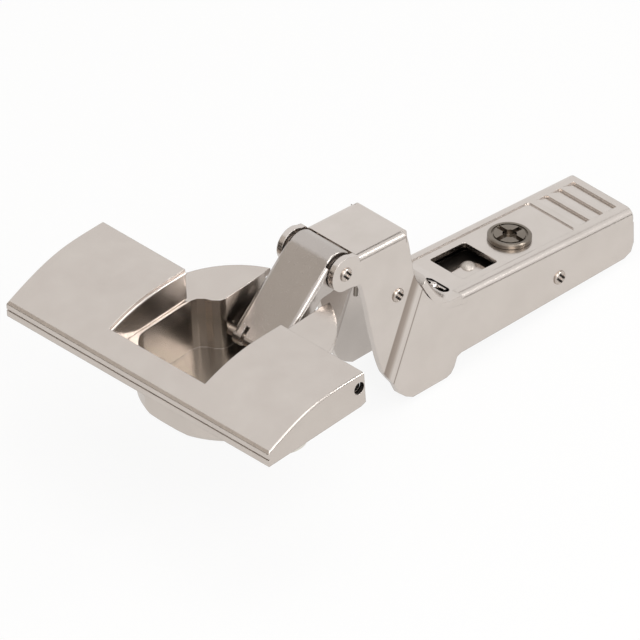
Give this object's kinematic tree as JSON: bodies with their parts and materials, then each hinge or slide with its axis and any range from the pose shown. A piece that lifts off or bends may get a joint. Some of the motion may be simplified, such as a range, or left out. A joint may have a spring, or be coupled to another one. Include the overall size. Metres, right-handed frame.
{
  "type": "concealed cabinet hinge",
  "caption": "Nickel-plated concealed cabinet hinge: round door cup with a folding locking flap, two levers and a cranked clip-on arm with adjusting screw, shown open.",
  "frame": {"origin": "on the cup axis in the plane of the door's inner face, which is the underside of the cup flange", "axes": "+Z out of the door, -Z into the cup's bore, +X from the cup towards the arm, Y along the flange"},
  "size_m": [0.1146, 0.0656, 0.0393],
  "materials": {
    "plated_casting": "satin nickel plate",
    "plated_steel": "satin nickel plate on pressed sheet",
    "pin_steel": "plated pin",
    "screw_steel": "plated screw",
    "spring_steel": "drawn wire",
    "lug_plastic": "moulded nylon"
  },
  "bodies": {
    "cup": {"hinge_cup": "plated_casting", "cup_axle": "pin_steel", "flap_pin_left": "pin_steel", "flap_pin_right": "pin_steel", "clamp_lug_left": "lug_plastic", "clamp_lug_right": "lug_plastic"},
    "flap": {"locking_flap": "plated_casting"},
    "spreader_l": {"spreader_left": "pin_steel"},
    "spreader_r": {"spreader_right": "pin_steel"},
    "outer": {"outer_lever": "plated_steel"},
    "inner": {"inner_lever": "plated_steel", "inner_lever_pin": "pin_steel"},
    "arm": {"hinge_arm": "plated_steel", "arm_pin_front": "pin_steel", "arm_pin_rear": "pin_steel", "arm_pin_side": "pin_steel", "closing_spring": "spring_steel"},
    "screw": {"side_screw": "screw_steel"},
    "channel": {"inner_channel": "plated_steel", "cover_tab": "plated_steel"},
    "cam": {"depth_cam": "screw_steel"},
    "slide_block": {"carriage": "plated_casting", "release_pin": "pin_steel"},
    "latch": {"release_lever": "plated_steel"}
  },
  "joints": [
    {"name": "lever_swing", "type": "hinge", "parent": "cup", "child": "outer", "pos_m": [0.00678, 0, -0.0062], "axis": [0, 1, 0], "range_deg": [-140.49, 0], "deforming": ["closing_spring"]},
    {"name": "arm_fold", "type": "hinge", "parent": "outer", "child": "arm", "pos_m": [0.02207, 0, 0.00437], "axis": [0, 1, 0], "range_deg": [0, 46.6]},
    {"name": "inner_swing", "type": "hinge", "parent": "arm", "child": "inner", "pos_m": [0.03428, 0, -0.00746], "axis": [0, 1, 0], "range_deg": [-61.5, 0]},
    {"name": "flap_lift", "type": "hinge", "parent": "cup", "child": "flap", "pos_m": [-0.0004, 0, 0.0054], "axis": [0, 1, 0], "range_deg": [0, 85]},
    {"name": "spreader_left_draw", "type": "slide", "parent": "cup", "child": "spreader_l", "axis": [0, 0, 1], "range_m": [0, 0.00152]},
    {"name": "spreader_right_draw", "type": "slide", "parent": "cup", "child": "spreader_r", "axis": [0, 0, 1], "range_m": [0, 0.00152]},
    {"name": "side_tilt", "type": "hinge", "parent": "arm", "child": "channel", "pos_m": [0.07233, 0, -0.02531], "axis": [0, 1, 0], "range_deg": [-1.5, 1.5]},
    {"name": "screw_turn", "type": "hinge", "parent": "arm", "child": "screw", "pos_m": [0.06852, 0, -0.01813], "axis": [0.139, 0, 0.9903], "range_deg": [-52, 52]},
    {"name": "depth_slide", "type": "slide", "parent": "channel", "child": "slide_block", "axis": [0.9976, 0, -0.0698], "range_m": [-0.0015, 0.0015]},
    {"name": "cam_turn", "type": "hinge", "parent": "channel", "child": "cam", "pos_m": [0.05849, 0, -0.01672], "axis": [0.139, 0, 0.9903], "range_deg": [-62, 62]},
    {"name": "latch_press", "type": "hinge", "parent": "slide_block", "child": "latch", "pos_m": [0.07859, 0, -0.02755], "axis": [0, 1, 0], "range_deg": [-12, 0], "stiffness_Nm_per_rad": 0.02, "springref_deg": 17.19}
  ],
  "couplings": [
    {"joint": "arm_fold", "follows": "lever_swing", "ratio": -0.33091},
    {"joint": "inner_swing", "follows": "lever_swing", "ratio": 0.43676},
    {"joint": "spreader_left_draw", "follows": "flap_lift", "m_per_rad": 0.00101},
    {"joint": "spreader_right_draw", "follows": "flap_lift", "m_per_rad": 0.00101},
    {"joint": "screw_turn", "follows": "side_tilt", "ratio": 33.8},
    {"joint": "cam_turn", "follows": "depth_slide", "rad_per_m": -714}
  ]
}
